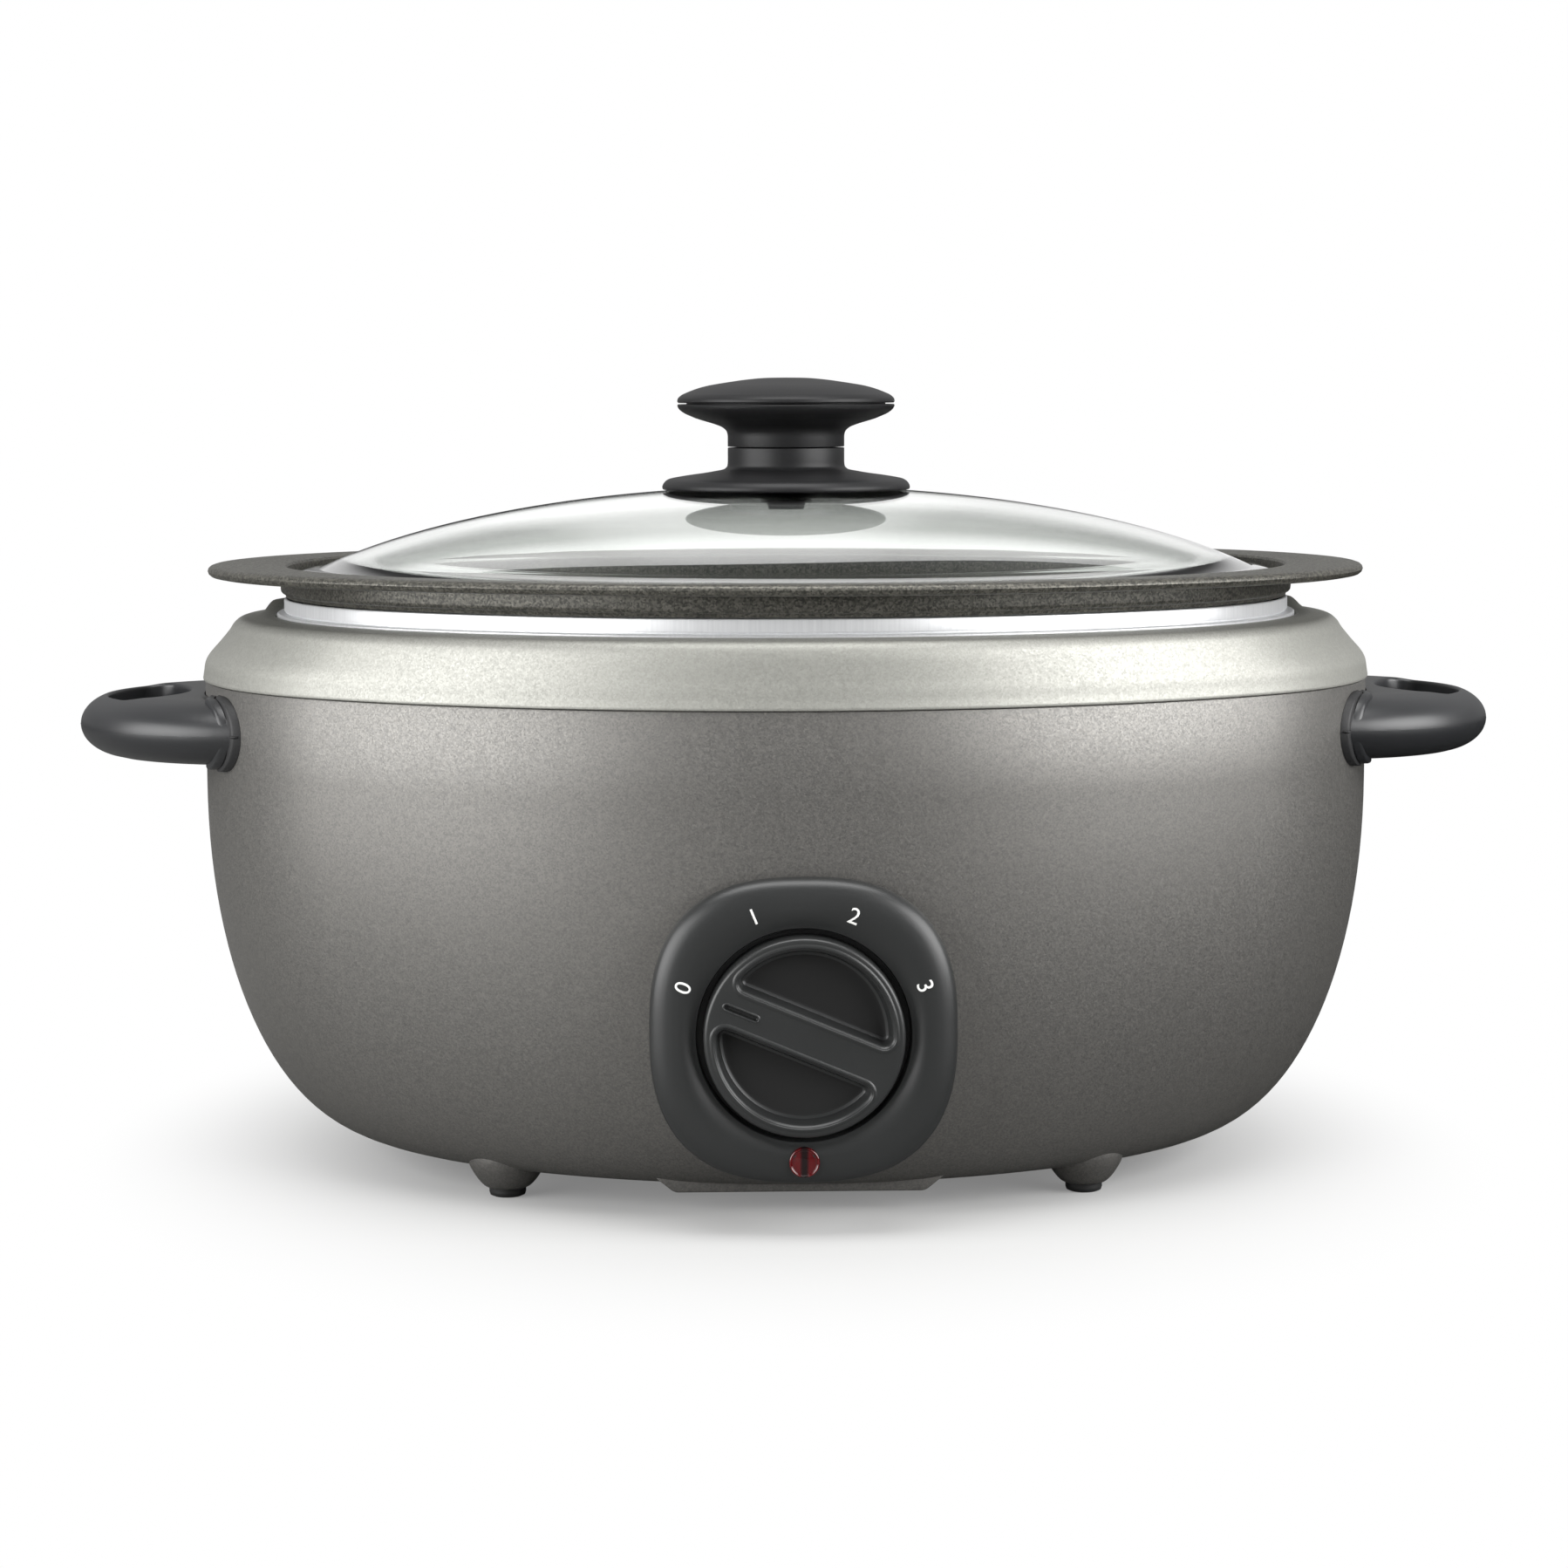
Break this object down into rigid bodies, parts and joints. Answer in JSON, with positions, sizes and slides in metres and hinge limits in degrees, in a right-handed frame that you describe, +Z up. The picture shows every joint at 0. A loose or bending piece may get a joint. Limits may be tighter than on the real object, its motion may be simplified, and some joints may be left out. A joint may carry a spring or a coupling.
{
  "type": "slow cooker",
  "caption": "Oval slow cooker with a lift-out pot, a domed glass lid with a knob, loop side handles and a rotary dial with a lamp.",
  "frame": {"origin": "on the table, under the middle of the cooker", "axes": "+X to the cooker's right as its front is seen, -Y out of the front with the dial, +Z up"},
  "size_m": [0.46, 0.31, 0.2517],
  "materials": {
    "titanium_paint": "satin metal-flake paint",
    "champagne_paint": "satin champagne metallic paint",
    "liner_sheet": "bright rolled sheet",
    "mica_band": "mica sheet in a steel strap",
    "steel": "zinc plated",
    "ceramic": "glazed cream",
    "base_plastic": "moulded black",
    "rubber": "matt black",
    "charcoal_plastic": "satin charcoal moulding",
    "knob_plastic": "satin charcoal phenolic",
    "red_lens": "clear red, ribbed",
    "lamp_glass": "clear glass capsule",
    "lead_sleeve": "braided sleeve",
    "gasket_rubber": "moulded silicone",
    "phenolic": "brown phenolic",
    "nonstick_coat": "hammered non-stick coating on cast aluminium",
    "lid_glass": "clear tempered glass"
  },
  "bodies": {
    "housing": {"outer_shell": "titanium_paint", "collar_ring": "champagne_paint", "heating_liner": "liner_sheet", "heater_band": "mica_band", "band_clamp": "steel", "thermal_fuse": "ceramic", "base_plate": "base_plastic", "base_screws": "steel", "foot_pads": "rubber", "centre_stud": "steel", "centre_nut": "steel", "terminal_block": "ceramic", "cord_gland": "base_plastic", "gland_nut": "base_plastic", "control_bezel": "charcoal_plastic", "bezel_screws": "steel", "rotary_switch": "ceramic", "switch_nut": "steel", "lamp_lens": "red_lens", "lamp_holder": "ceramic", "neon_lamp": "lamp_glass", "lamp_clip": "steel", "wiring_leads": "lead_sleeve", "handle_left": "charcoal_plastic", "handle_right": "charcoal_plastic", "gasket_left": "gasket_rubber", "gasket_right": "gasket_rubber", "handle_screws": "steel"},
    "dial": {"dial_knob": "charcoal_plastic", "switch_shaft": "steel", "switch_rotor": "phenolic"},
    "pot": {"cooking_pot": "nonstick_coat"},
    "lid": {"lid_glass": "lid_glass", "lid_seal": "gasket_rubber", "knob_base": "knob_plastic", "knob_grip": "knob_plastic", "knob_cap": "knob_plastic", "knob_screw": "steel", "knob_washer": "steel"}
  },
  "joints": [
    {"name": "pot_lift", "type": "slide", "parent": "housing", "child": "pot", "axis": [0, 0, 1], "range_m": [0, 0.16]},
    {"name": "lid_lift", "type": "slide", "parent": "pot", "child": "lid", "axis": [0, 0, 1], "range_m": [0, 0.12]},
    {"name": "dial_turn", "type": "hinge", "parent": "housing", "child": "dial", "pos_m": [0, -0.15, 0.0605], "axis": [0, 1, 0], "range_deg": [0, 135]}
  ]
}
